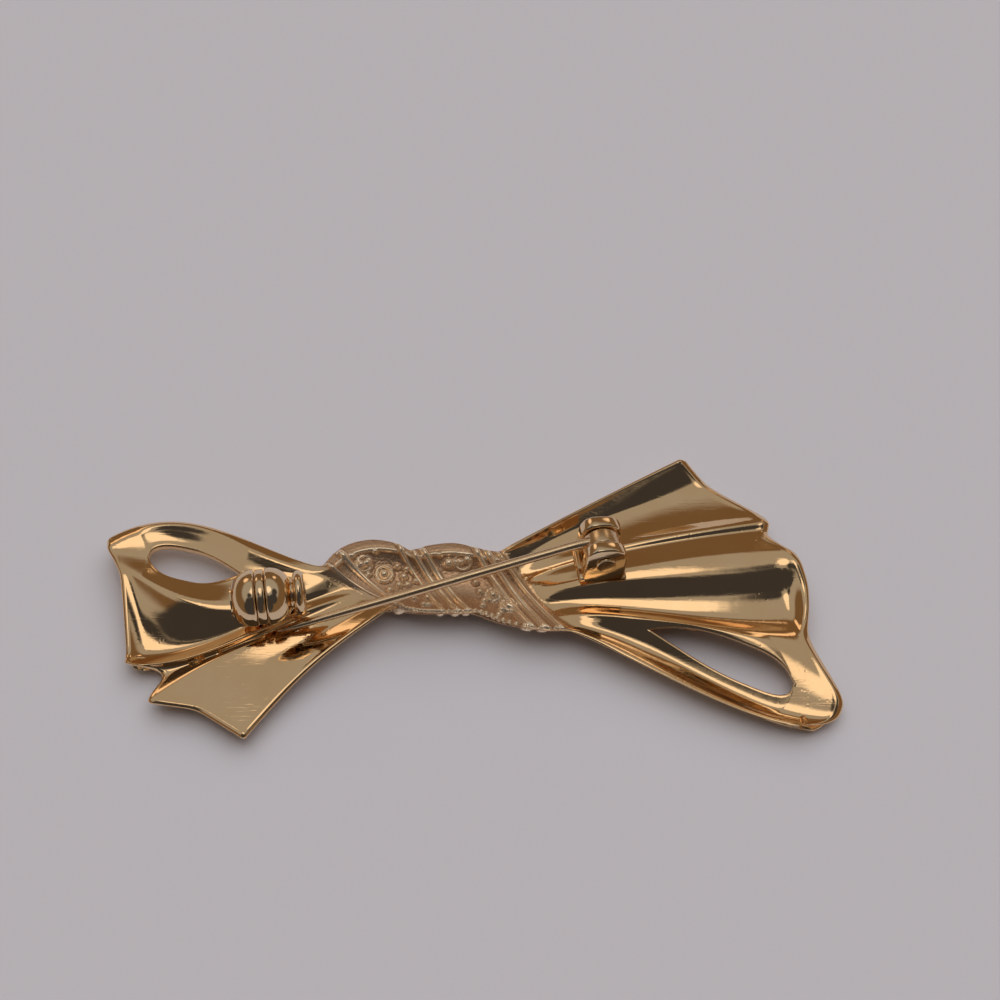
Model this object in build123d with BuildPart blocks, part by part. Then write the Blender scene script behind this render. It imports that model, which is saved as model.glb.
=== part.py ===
from build123d import *
from collections import namedtuple
from math import cos, radians, sin, sqrt
import os

os.makedirs("parts", exist_ok=True)

# A one-piece pressed bow brooch, lying on its front with its fittings up.
# X runs along the bow, Y away from the eye, Z up. Sizes are millimetres.

# Driving dimensions of the pressed bow
WALL = 0.8  # thickness of the pressed metal
TO_ORIGIN = Vector(0.4, -0.63, 0.0)  # from the folds' own zero to the middle of the footprint
FAR_RIM_Z = 3.0  # height of the knot's far rim
NEAR_RIM_Z = 2.7  # height of the knot's near rim
BAR_RISE = 0.3  # how far the knot's slanting bars stand up
BAR_GROOVE = 0.35  # share of that rise left between a bar's two ridges
BAR_FADE = 3.0  # how quickly a bar rises from the knot's rims
END_TURN = 0.08  # last share of a ribbon, where its end wall turns up
ROWS_LEFT = 18
ROWS_RIGHT = 20
ROWS_CROWD = 1.25  # crowds the rows towards the ribbon ends
UPRIGHT = 0.6  # leans the wall's thickness towards the vertical on steep slopes

# Driving dimensions of the hinge
HINGE_BASE = Vector(10.2, 2.65, 2.65) + TO_ORIGIN
HINGE_TURN = 7.5  # degrees, the line from hinge to catch
HINGE_LEAN = 14.0  # degrees, away from the eye
HINGE_PITCH = 8.0  # degrees, towards the right end
CHEEK_LENGTH = 3.4
CHEEK_OUTER = 3.8
CHEEK_SLOT = 1.6
CHEEK_BEVEL = 0.25
AXIS_HEIGHT = 2.15
BASE_LENGTH = 3.9
BASE_THICK = 0.55
FOOT_LENGTH = 2.6
FOOT_WIDTH = 3.0
FOOT_DEPTH = 0.5
RIVET_RADIUS = 0.6
RIVET_HEAD_RADIUS = 0.78
RIVET_HEAD_THICK = 0.14
RIVET_HEAD_ROUND = 0.1
RUNNING_GAP = 0.05  # of the rivet in its holes

# Driving dimensions of the pin stem
EYE_RADIUS = 1.55
EYE_WIDTH = 1.4
NECK_RISE = 0.9  # of the neck's root above the rivet
NECK_LENGTH = 2.4
NECK_RADIUS = 0.5
STEM_RADIUS = 0.38
STEM_LENGTH = 15.0  # parallel stretch
TAPER_LENGTH = 6.5
TAPER_RADIUS = 0.32
POINT_LENGTH = 3.2
POINT_RADIUS = 0.06
STEM_DIP = 15.2  # degrees, towards the bow's back
STEM_SIDE = 6.3  # degrees, towards the near side

# Driving dimensions of the safety catch
CATCH_CENTRE = Vector(-16.7, -1.33, 4.75) + TO_ORIGIN
BARREL_RADIUS = 2.35
BARREL_LENGTH = 4.9
BARREL_WAIST = 0.8  # slot between the two rounded halves
BARREL_SHOULDER = 1.5
BARREL_LIP = 0.35
BORE_RADIUS = 1.2
MOUTH_LOW = -50.0  # degrees up from the near horizontal
MOUTH_HIGH = -5.0
CATCH_FOOT_LENGTH = 3.0
CATCH_FOOT_WIDTH = 1.5
CATCH_FOOT_DEPTH = 3.2
CATCH_FOOT_TOP = 1.5
SLEEVE_BORE = 0.7
SLEEVE_RADIUS = 1.1
SLEEVE_REACH = 3.45  # from the barrel's middle to the sleeve's right end
SLEEVE_INSET = 0.1  # of its left end inside the barrel
COLLAR_RADIUS = 1.85
COLLAR_THICK = 0.9
RIM_RADIUS = 2.22
RIM_THICK = 0.66
RIM_GAP = 0.12  # round the rim, over the foot
TAB_ANGLE = 205.0
TAB_ROOT = 1.6
TAB_REACH = 2.85
TAB_WIDTH = 1.0

# Each fold runs from the knot to a ribbon end. Its columns are the places it passes
# at one third, two thirds and the end, how far its end wall turns up, the strips to
# the next fold, and how far those strips sag between the two.
Fold = namedtuple("Fold", "name third two_thirds end turn_up strips sag")
LEFT_FOLDS = (
    Fold("loop_rim", (-18.4, 5.0, 3.1), (-24.2, 6.8, 3.0), (-30.4, 5.1, 2.7), 0.0, 3, 0.1),
    Fold("opening", (-19.1, 2.1, 2.3), (-23.2, 2.9, 2.2), (-29.8, 3.9, 2.5), 0.0, 2, 0.0),
    Fold("ridge", (-19.0, -0.9, 2.8), (-24.2, -0.1, 3.1), (-29.2, 2.9, 2.6), 0.0, 2, 0.0),
    Fold("shoulder", (-18.4, -1.5, 2.6), (-23.6, -0.9, 2.9), (-28.7, 1.9, 2.4), 0.3, 3, 0.1),
    Fold("trough", (-17.3, -1.9, 1.6), (-22.5, -3.8, 0.95), (-27.8, -3.2, 1.1), 0.8, 3, 0.2),
    Fold("lobe_rim", (-16.7, -2.9, 2.6), (-22.0, -5.3, 2.4), (-27.8, -6.0, 2.3), 0.2, 1, 0.0),
    Fold("step", (-16.1, -2.8, 1.9), (-20.6, -4.6, 1.3), (-24.3, -6.0, 1.05), 0.0, 2, 0.0),
    Fold("tail_ridge", (-15.2, -3.2, 2.1), (-20.0, -5.0, 1.9), (-26.0, -9.1, 1.95), 0.0, 4, 0.0),
    Fold("tail_fold", (-13.8, -4.1, 1.95), (-17.3, -6.5, 1.85), (-21.8, -9.7, 1.9), 0.0, 4, 0.0),
    Fold("tail_edge", (-11.3, -5.0, 2.5), (-14.7, -8.3, 1.95), (-17.8, -12.2, 1.8), 0.0, 0, 0.0),
)
RIGHT_FOLDS = (
    Fold("tail_rim", (7.0, 6.8, 2.8), (12.0, 9.9, 2.3), (17.7, 13.3, 1.8), 0.0, 3, 0.1),
    Fold("crease", (8.4, 6.3, 1.9), (14.1, 8.7, 1.2), (19.7, 11.1, 0.8), 0.0, 3, 0.1),
    Fold("tail_foot", (9.6, 4.8, 2.0), (17.1, 6.6, 1.7), (24.0, 7.9, 1.6), 0.0, 1, 0.0),
    Fold("pleat", (10.4, 3.9, 2.6), (17.8, 5.5, 2.8), (24.6, 6.8, 2.4), 0.0, 1, 0.0),
    Fold("groove", (10.5, 3.6, 2.2), (18.1, 5.3, 2.1), (24.4, 6.3, 1.9), 0.0, 1, 0.0),
    Fold("pleat_near", (10.8, 3.0, 2.7), (18.4, 4.6, 2.7), (24.2, 5.6, 2.3), 0.0, 2, 0.1),
    Fold("ridge", (11.1, 1.8, 3.1), (18.4, 3.1, 3.2), (26.3, 4.0, 2.7), 0.0, 2, 0.0),
    Fold("shoulder", (11.3, 0.9, 3.0), (18.8, 1.7, 3.05), (26.8, 2.9, 2.6), 0.4, 2, 0.0),
    Fold("trough", (11.9, 0.0, 2.2), (19.3, -0.1, 2.1), (27.3, 1.0, 1.4), 1.1, 2, 0.0),
    Fold("floor", (12.2, -1.0, 2.0), (20.1, -1.8, 1.8), (27.2, -1.1, 1.3), 1.2, 2, 0.1),
    Fold("band", (12.9, -2.1, 2.9), (20.9, -3.3, 3.0), (26.9, -3.5, 2.4), 0.0, 2, 0.0),
    Fold("opening", (14.6, -3.1, 2.4), (22.9, -6.3, 2.0), (29.6, -8.7, 2.15), 0.0, 2, 0.0),
    Fold("channel", (14.2, -4.6, 1.5), (21.6, -8.6, 1.0), (29.0, -10.3, 1.2), 0.0, 1, 0.0),
    Fold("lip", (13.7, -6.2, 2.5), (20.2, -9.4, 2.2), (26.5, -11.2, 1.9), 0.0, 0, 0.0),
)

# The buttonhole-shaped gap along the fold named opening, as shares of its length
BLUNT = 3.0  # 2 would make an opening's outer end a true ellipse
Opening = namedtuple("Opening", "start stop half_width skew")
LEFT_OPENING = Opening(0.31, 0.86, 1.55, 1.8)
RIGHT_OPENING = Opening(0.32, 0.79, 1.8, 1.7)

# Slanting sections of the knot, from its far rim to its near rim
Section = namedtuple("Section", "along far_x far_y near_x near_y depth")
KNOT_SECTIONS = (
    Section(0.00, -12.4, 2.6, -6.2, -1.0, 1.2),
    Section(0.12, -10.9, 4.3, -5.1, -1.5, 1.4),
    Section(0.28, -8.6, 5.1, -3.6, -1.8, 1.5),
    Section(0.42, -6.3, 4.8, -2.2, -1.8, 1.5),
    Section(0.50, -5.2, 4.2, -1.0, -1.8, 1.4),
    Section(0.62, -3.6, 4.6, 0.7, -1.8, 1.5),
    Section(0.78, -1.5, 4.8, 3.2, -2.8, 1.5),
    Section(0.90, 0.6, 4.3, 5.8, -3.3, 1.4),
    Section(1.00, 2.2, 3.9, 7.9, -3.3, 1.2),
)

# Bands wound round the knot, as shares of its length, with plain rows between them
Bar = namedtuple("Bar", "start stop rows_after")
BARS = (Bar(0.00, 0.11, 5), Bar(0.50, 0.60, 4), Bar(0.89, 1.00, 0))


def through_stations(start, fold, u):
    """Point at share u of the cubic through the knot edge and a fold's three places."""
    weights = (
        (1 - 3 * u) * (2 - 3 * u) * (1 - u) / 2,
        9 * u * (2 - 3 * u) * (1 - u) / 2,
        9 * u * (3 * u - 1) * (1 - u) / 2,
        u * (3 * u - 1) * (3 * u - 2) / 2,
    )
    stations = (Vector(*place) + TO_ORIGIN for place in (fold.third, fold.two_thirds, fold.end))
    places = (start, *stations)
    return sum((place * weight for place, weight in zip(places, weights)), Vector(0, 0, 0))


def knot_section(along):
    """The knot's section at a share of its length, on a smooth curve through the table."""
    rows = KNOT_SECTIONS
    last = len(rows) - 1
    i = max(k for k in range(last) if rows[k].along <= along)
    before, here, after, beyond = (rows[min(max(k, 0), last)] for k in (i - 1, i, i + 1, i + 2))
    span = after.along - here.along
    t = (along - here.along) / span

    def column(name):
        p0, p1, p2, p3 = (getattr(row, name) for row in (before, here, after, beyond))
        m1 = (p2 - p0) / (after.along - before.along) * span
        m2 = (p3 - p1) / (beyond.along - here.along) * span
        rise = p1 * (2 * t**3 - 3 * t**2 + 1) + p2 * (3 * t**2 - 2 * t**3)
        return rise + m1 * (t**3 - 2 * t**2 + t) + m2 * (t**3 - t**2)

    return Section(along, *(column(name) for name in Section._fields[1:]))


def knot_point(along, across):
    section = knot_section(along)
    far = Vector(section.far_x, section.far_y, FAR_RIM_Z)
    near = Vector(section.near_x, section.near_y, NEAR_RIM_Z)
    sink = section.depth * 4 * across * (1 - across)
    return far + (near - far) * across - Vector(0, 0, sink) + TO_ORIGIN


def knot_rows():
    """Rows of the knot as pairs of share along it and relief."""
    rows = []
    for bar, following in zip(BARS, BARS[1:] + (None,)):
        width = bar.stop - bar.start
        reliefs = (0, BAR_RISE, BAR_RISE * BAR_GROOVE, BAR_RISE, 0)
        rows += [(bar.start + width * k / 4, relief) for k, relief in enumerate(reliefs)]
        if following:
            gap = following.start - bar.stop
            count = bar.rows_after + 1
            rows += [(bar.stop + gap * k / count, 0) for k in range(1, count)]
    return rows


def half_opening(opening, u):
    """Half the width of a ribbon's opening at share u, round ended and fuller outwards."""
    t = (u - opening.start) / (opening.stop - opening.start)
    if t <= 0 or t >= 1:
        return 0.0
    s = t**opening.skew
    return opening.half_width * sqrt(1 - abs(2 * s - 1) ** BLUNT)


def ribbon_row(folds, opening, knot_end, u):
    """One row of points across a ribbon. A slit point has a far and a near place."""
    columns = sum(fold.strips for fold in folds)
    turn = max(0.0, (u - 1 + END_TURN) / END_TURN)
    keys = []
    column = 0
    for fold in folds:
        point = through_stations(knot_point(knot_end, column / columns), fold, u)
        keys.append(point + Vector(0, 0, fold.turn_up * turn * turn * (3 - 2 * turn)))
        column += fold.strips
    row = []
    for k, fold in enumerate(folds):
        here, there = (keys[k], keys[k])
        if fold.name == "opening":
            along = (keys[k + 1] - keys[k - 1]).normalized()
            gap = along * half_opening(opening, u)
            here, there = (keys[k] - gap, keys[k] + gap)
        row.append((here, there))
        after = keys[min(k + 1, len(keys) - 1)]
        if fold.strips and folds[k + 1].name == "opening":
            outward = (keys[k] - keys[k + 2]).normalized()
            after = after + outward * half_opening(opening, u)
        for step in range(1, fold.strips):
            t = step / fold.strips
            sag = Vector(0, 0, fold.sag * 4 * t * (1 - t) * min(1.0, 2 * u))
            point = there + (after - there) * t - sag
            row.append((point, point))
    return row


def bow_rows():
    """All rows of the pressed bow from its left ends to its right ends, with reliefs."""
    columns = sum(fold.strips for fold in LEFT_FOLDS)
    rows = []
    for i in range(ROWS_LEFT):
        u = 1 - (i / ROWS_LEFT) ** ROWS_CROWD
        rows.append((ribbon_row(LEFT_FOLDS, LEFT_OPENING, 0.0, u), 0.0))
    for along, relief in knot_rows():
        points = [knot_point(along, j / columns) for j in range(columns + 1)]
        rows.append(([(point, point) for point in points], relief))
    for i in range(1, ROWS_RIGHT + 1):
        u = 1 - (1 - i / ROWS_RIGHT) ** ROWS_CROWD
        rows.append((ribbon_row(RIGHT_FOLDS, RIGHT_OPENING, 1.0, u), 0.0))
    return rows


def thicken(rows):
    """Back and front points of the wall for every place of every row."""
    backs, fronts = ([], [])
    last_row, last_column = (len(rows) - 1, len(rows[0][0]) - 1)
    for i, (row, relief) in enumerate(rows):
        back_row, front_row = ([], [])
        for j, pair in enumerate(row):
            back_pair, front_pair = ([], [])
            slit = (pair[1] - pair[0]).length > 0
            for side, point in enumerate(pair):
                left, right = (
                    (rows[k][0][j][side] if slit else (rows[k][0][j][0] + rows[k][0][j][1]) / 2)
                    for k in (max(i - 1, 0), min(i + 1, last_row))
                )
                far = point if slit and side == 1 else row[max(j - 1, 0)][1]
                near = point if slit and side == 0 else row[min(j + 1, last_column)][0]
                normal = (far - near).cross(left - right).normalized()
                lean = (normal + Vector(0, 0, UPRIGHT)).normalized()
                taper = 4 * (j / last_column) * (1 - j / last_column)
                rise = relief * min(1.0, BAR_FADE * taper)
                back_pair.append(point + lean * rise)
                front_pair.append(point - lean * (WALL + rise))
            back_row.append(back_pair)
            front_row.append(front_pair)
        backs.append(back_row)
        fronts.append(front_row)
    return backs, fronts


def two_triangles(a, b, c, d):
    return [
        Face(Wire.make_polygon(corners, close=True)) for corners in ((a, b, c), (a, c, d))
    ]


def pressed_bow():
    """The closed wall of the bow, sewn from its back, its front and its edges."""
    backs, fronts = thicken(bow_rows())
    last_row, last_column = (len(backs) - 1, len(backs[0]) - 1)
    faces = []
    for skin in (backs, fronts):
        for i in range(last_row):
            for j in range(last_column):
                faces += two_triangles(
                    skin[i][j][1],
                    skin[i + 1][j][1],
                    skin[i + 1][j + 1][0],
                    skin[i][j + 1][0],
                )
    for i in (0, last_row):
        for j in range(last_column):
            faces += two_triangles(
                backs[i][j][1], backs[i][j + 1][0], fronts[i][j + 1][0], fronts[i][j][1]
            )
    for i in range(last_row):
        for j in range(last_column + 1):
            open_here = any(
                (backs[k][j][1] - backs[k][j][0]).length > 0 for k in (i, i + 1)
            )
            sides = (0, 1) if open_here else ((0,) if j in (0, last_column) else ())
            for side in sides:
                faces += two_triangles(
                    backs[i][j][side],
                    backs[i + 1][j][side],
                    fronts[i + 1][j][side],
                    fronts[i][j][side],
                )
    return Solid(Shell(faces))


def turned(direction, axis, degrees):
    return direction.rotate(Axis((0, 0, 0), axis), degrees)


# The hinge stands on the folds it is soldered to: turned towards the catch, leaning
# away and to the right. Its rivet lies along hinge_y.
hinge_turned = turned(Vector(1, 0, 0), (0, 0, 1), HINGE_TURN)
hinge_leaned = turned(Vector(0, 0, 1), hinge_turned, -HINGE_LEAN)
hinge_y = hinge_leaned.cross(hinge_turned)
hinge_x = turned(hinge_turned, hinge_y, HINGE_PITCH)
hinge_up = turned(hinge_leaned, hinge_y, HINGE_PITCH)
hinge_floor = Plane(HINGE_BASE, x_dir=hinge_x, z_dir=hinge_up)
hinge_side = Plane(HINGE_BASE, x_dir=hinge_x, z_dir=-hinge_y)
rivet_place = (0, AXIS_HEIGHT)

with BuildPart() as hinge_bracket:
    with BuildSketch(hinge_side):
        with Locations((0, AXIS_HEIGHT / 2)):
            Rectangle(CHEEK_LENGTH, AXIS_HEIGHT)
        with Locations(rivet_place):
            Circle(CHEEK_LENGTH / 2)
    extrude(amount=CHEEK_OUTER / 2, both=True)
    cheek_edges = hinge_bracket.faces().filter_by(hinge_side).edges()
    chamfer(cheek_edges.sort_by(Axis(HINGE_BASE, hinge_up))[2:], CHEEK_BEVEL)
    with BuildSketch(hinge_floor):
        Rectangle(BASE_LENGTH, CHEEK_OUTER)
    extrude(amount=BASE_THICK)
    with BuildSketch(hinge_floor):
        Rectangle(FOOT_LENGTH, FOOT_WIDTH)
    extrude(amount=-FOOT_DEPTH)
    with BuildSketch(hinge_side):
        with Locations((0, BASE_THICK + CHEEK_LENGTH)):
            Rectangle(2 * CHEEK_LENGTH, 2 * CHEEK_LENGTH)
    extrude(amount=CHEEK_SLOT / 2, both=True, mode=Mode.SUBTRACT)
    with BuildSketch(hinge_side):
        with Locations(rivet_place):
            Circle(RIVET_RADIUS + RUNNING_GAP)
    extrude(amount=CHEEK_OUTER, both=True, mode=Mode.SUBTRACT)

# The safety catch: a barrel of two rounded halves on a foot, with a mouth low on its
# near side. Angles in its sections count from the near horizontal upwards.
catch_x = hinge_turned
catch_y = Vector(0, 0, 1).cross(catch_x)
catch_side = Plane(CATCH_CENTRE, x_dir=catch_x, z_dir=-catch_y)
catch_section = Plane(CATCH_CENTRE, x_dir=-catch_y, z_dir=-catch_x)
catch_floor = Plane(CATCH_CENTRE, x_dir=catch_x, z_dir=(0, 0, 1))
barrel_half = (BARREL_LENGTH - BARREL_WAIST) / 2
wedge = 2 * BARREL_RADIUS
with BuildSketch(catch_section) as mouth:
    with BuildLine():
        Polyline(
            (0, 0),
            (wedge * cos(radians(MOUTH_LOW)), wedge * sin(radians(MOUTH_LOW))),
            (wedge * cos(radians(MOUTH_HIGH)), wedge * sin(radians(MOUTH_HIGH))),
            close=True,
        )
    make_face()

with BuildPart() as catch_barrel:
    with BuildSketch(catch_side):
        for side in (-1, 1):
            with Locations((side * (BARREL_WAIST + barrel_half) / 2, BARREL_RADIUS / 2)):
                Rectangle(barrel_half, BARREL_RADIUS)
        crown = vertices().group_by(Axis.Y)[-1].sort_by(Axis.X)
        fillet((crown[0], crown[-1]), BARREL_SHOULDER)
        crown = vertices().group_by(Axis.Y)[-1].sort_by(Axis.X)
        fillet(crown[1:-1], BARREL_LIP)
    revolve(axis=Axis(CATCH_CENTRE, catch_x))
    with BuildSketch(catch_floor.offset(-CATCH_FOOT_DEPTH)):
        Rectangle(CATCH_FOOT_LENGTH, CATCH_FOOT_WIDTH)
    extrude(amount=CATCH_FOOT_DEPTH - CATCH_FOOT_TOP)
    with BuildSketch(catch_section):
        Circle(RIM_RADIUS + RIM_GAP)
    extrude(amount=BARREL_WAIST / 2, both=True, mode=Mode.SUBTRACT)
    with BuildSketch(catch_section):
        Circle(BORE_RADIUS)
    extrude(amount=BARREL_LENGTH, both=True, mode=Mode.SUBTRACT)
    extrude(mouth.sketch, amount=BARREL_LENGTH, both=True, mode=Mode.SUBTRACT)

# The bow, its hinge and its barrel are soldered into one solid
with BuildPart() as bow_body:
    add(pressed_bow())
    add(hinge_bracket.part)
    add(catch_barrel.part)
bow_body.part.label = "bow_body"
export_step(bow_body.part, "parts/bow_body.step")

with BuildPart() as hinge_rivet:
    with BuildSketch(hinge_side):
        with Locations(rivet_place):
            Circle(RIVET_RADIUS)
    extrude(amount=CHEEK_OUTER / 2 + RUNNING_GAP, both=True)
    for side in (-1, 1):
        head_plane = hinge_side.offset(side * (CHEEK_OUTER / 2 + RUNNING_GAP))
        with BuildSketch(head_plane):
            with Locations(rivet_place):
                Circle(RIVET_HEAD_RADIUS)
        extrude(amount=side * RIVET_HEAD_THICK)
    rims = hinge_rivet.edges().filter_by(GeomType.CIRCLE).sort_by(Axis(HINGE_BASE, hinge_y))
    fillet((rims[0], rims[-1]), RIVET_HEAD_ROUND)
hinge_rivet.part.label = "hinge_rivet"
export_step(hinge_rivet.part, "parts/hinge_rivet.step")

# The pin stem swings on the rivet. Its neck dips towards the bow's back, and the
# stem leaves the neck a little to the near side, as it lies unlatched.
rivet_axis = HINGE_BASE + hinge_up * AXIS_HEIGHT
neck_root = rivet_axis + hinge_up * NECK_RISE
neck_way = turned(-hinge_x, hinge_y, -STEM_DIP)
neck_end = neck_root + neck_way * NECK_LENGTH
stem_way = turned(neck_way, hinge_up, STEM_SIDE)
stem_end = neck_end + stem_way * STEM_LENGTH
taper_end = stem_end + stem_way * TAPER_LENGTH
stem_tip = taper_end + stem_way * POINT_LENGTH

with BuildPart() as pin_stem:
    with BuildSketch(hinge_side):
        with Locations(rivet_place):
            Circle(EYE_RADIUS)
    extrude(amount=EYE_WIDTH / 2, both=True)
    for low, high, way, low_radius, high_radius in (
        (neck_root, neck_end, neck_way, NECK_RADIUS, STEM_RADIUS),
        (stem_end, taper_end, stem_way, STEM_RADIUS, TAPER_RADIUS),
        (taper_end, stem_tip, stem_way, TAPER_RADIUS, POINT_RADIUS),
    ):
        with BuildSketch(Plane(low, z_dir=way)):
            Circle(low_radius)
        with BuildSketch(Plane(high, z_dir=way)):
            Circle(high_radius)
        loft()
    with BuildSketch(Plane(neck_end, z_dir=stem_way)):
        Circle(STEM_RADIUS)
    extrude(amount=STEM_LENGTH)
    with Locations(neck_end):
        Sphere(STEM_RADIUS)
    with BuildSketch(hinge_side):
        with Locations(rivet_place):
            Circle(RIVET_RADIUS + RUNNING_GAP)
    extrude(amount=EYE_WIDTH, both=True, mode=Mode.SUBTRACT)
pin_stem.part.label = "pin_stem"
export_step(pin_stem.part, "parts/pin_stem.step")
print("stem root", neck_end, "way", stem_way, "tip", stem_tip)
print("rivet middle", rivet_axis, "rivet line", hinge_y)

# The turning sleeve of the safety catch, held by its rim in the barrel's slot
with BuildPart() as catch_sleeve:
    for start, length, radius in (
        (-SLEEVE_REACH, SLEEVE_REACH + BARREL_LENGTH / 2 - SLEEVE_INSET, SLEEVE_RADIUS),
        (-SLEEVE_REACH, COLLAR_THICK, COLLAR_RADIUS),
        (-RIM_THICK / 2, RIM_THICK, RIM_RADIUS),
    ):
        with BuildSketch(catch_section.offset(start)):
            Circle(radius)
            Circle(SLEEVE_BORE, mode=Mode.SUBTRACT)
        extrude(amount=length)
    with BuildSketch(catch_section):
        with PolarLocations((TAB_ROOT + TAB_REACH) / 2, 1, start_angle=TAB_ANGLE):
            Rectangle(TAB_REACH - TAB_ROOT, TAB_WIDTH)
    extrude(amount=RIM_THICK / 2, both=True)
    extrude(mouth.sketch, amount=BARREL_LENGTH, both=True, mode=Mode.SUBTRACT)
catch_sleeve.part.label = "catch_sleeve"
export_step(catch_sleeve.part, "parts/catch_sleeve.step")
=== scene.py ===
import math
from collections import namedtuple

import bmesh
import bpy
import numpy as np
from mathutils import Matrix, Vector

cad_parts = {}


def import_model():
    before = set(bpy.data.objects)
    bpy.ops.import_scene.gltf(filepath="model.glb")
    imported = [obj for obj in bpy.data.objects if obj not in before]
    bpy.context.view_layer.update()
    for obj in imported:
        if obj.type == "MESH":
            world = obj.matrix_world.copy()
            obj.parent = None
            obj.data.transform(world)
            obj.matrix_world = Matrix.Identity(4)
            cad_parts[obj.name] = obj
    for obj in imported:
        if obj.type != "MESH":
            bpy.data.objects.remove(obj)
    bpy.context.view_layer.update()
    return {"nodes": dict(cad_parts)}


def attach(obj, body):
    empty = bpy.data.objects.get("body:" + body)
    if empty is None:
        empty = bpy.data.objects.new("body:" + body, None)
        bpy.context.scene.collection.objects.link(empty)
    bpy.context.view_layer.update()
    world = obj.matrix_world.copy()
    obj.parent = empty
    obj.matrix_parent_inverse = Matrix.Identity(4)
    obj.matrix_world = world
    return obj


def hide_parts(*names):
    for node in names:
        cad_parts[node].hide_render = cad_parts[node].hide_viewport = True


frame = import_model()

# A pressed bow brooch lying on its front, with its fittings up. Lengths here are
# millimetres until a mesh is made; Blender holds metres.
MM = 0.001
UP = np.array((0.0, 0.0, 1.0))

# Driving dimensions of the pressed bow
WALL = 0.8
TO_ORIGIN = np.array((0.4, -0.63, 0.0))
FAR_RIM_Z = 3.0
NEAR_RIM_Z = 2.7
END_TURN = 0.08
UPRIGHT = 0.6  # how far the wall's thickness leans towards the vertical
STRIP_STEPS = 4  # fine columns to each strip
FOLD_SOFTENING = 6  # passes that round the folds
JOIN_SOFTENING = 3  # passes that round the joins of knot and ribbons
EDGE_POINTS = 28  # how many points in from an edge its roll and round corners reach
WAY_POINTS = 4  # how many points in from an edge the way out of it is measured
ROLL_CREST = 0.05
CREST_WIDTH = 0.4  # as a share of the roll's width
ROLL_CURVE = 1.3  # 1 rolls at one slope, more steepens towards the edge
RIM_ROUND = 0.13
RIM_REACH = 0.4
RIM_POINTS = 12  # how many points in from a rim may be drawn in
RIM_STEPS = 5
RIM_SQUARE = 0.6  # 1 makes a round rim, less a squarer one
TUCK = 0.42  # how far the front is drawn in under the near rim
KNOT_TUCK = 0.85
TUCK_REACH = 1.2
CHANGE_RATE = 8  # how sharply rolls and tucks change at the knot's ends

# Folds of each half from far to near: where each passes at one third, two thirds and
# the end of its ribbon, how far it turns up there, and the strips to the next fold with
# their sag
Fold = namedtuple("Fold", "name third two_thirds end turn_up strips sag")
LEFT_FOLDS = (
    Fold("loop_rim", (-18.4, 5.0, 3.1), (-24.2, 6.8, 3.0), (-30.4, 5.1, 2.7), 0.0, 3, 0.1),
    Fold("opening", (-19.1, 2.1, 2.3), (-23.2, 2.9, 2.2), (-29.8, 3.9, 2.5), 0.0, 2, 0.0),
    Fold("ridge", (-19.0, -0.9, 2.8), (-24.2, -0.1, 3.1), (-29.2, 2.9, 2.6), 0.0, 2, 0.0),
    Fold("shoulder", (-18.4, -1.5, 2.6), (-23.6, -0.9, 2.9), (-28.7, 1.9, 2.4), 0.3, 3, 0.1),
    Fold("trough", (-17.3, -1.9, 1.6), (-22.5, -3.8, 0.95), (-27.8, -4.4, 1.3), 0.5, 3, 0.2),
    Fold("lobe_rim", (-16.7, -2.9, 2.6), (-22.0, -5.3, 2.4), (-27.8, -6.0, 2.15), 0.2, 1, 0.0),
    Fold("step", (-16.1, -2.8, 1.9), (-20.6, -4.6, 1.3), (-24.3, -6.0, 1.05), 0.0, 2, 0.0),
    Fold("tail_ridge", (-15.2, -3.2, 2.1), (-20.0, -5.0, 1.9), (-26.0, -9.1, 1.95), 0.0, 4, 0.0),
    Fold("tail_fold", (-13.8, -4.1, 1.95), (-17.3, -6.5, 1.85), (-21.8, -9.7, 1.9), 0.0, 4, 0.0),
    Fold("tail_edge", (-11.3, -5.0, 2.5), (-14.7, -8.3, 1.95), (-17.8, -12.2, 1.8), 0.0, 0, 0.0),
)
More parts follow.
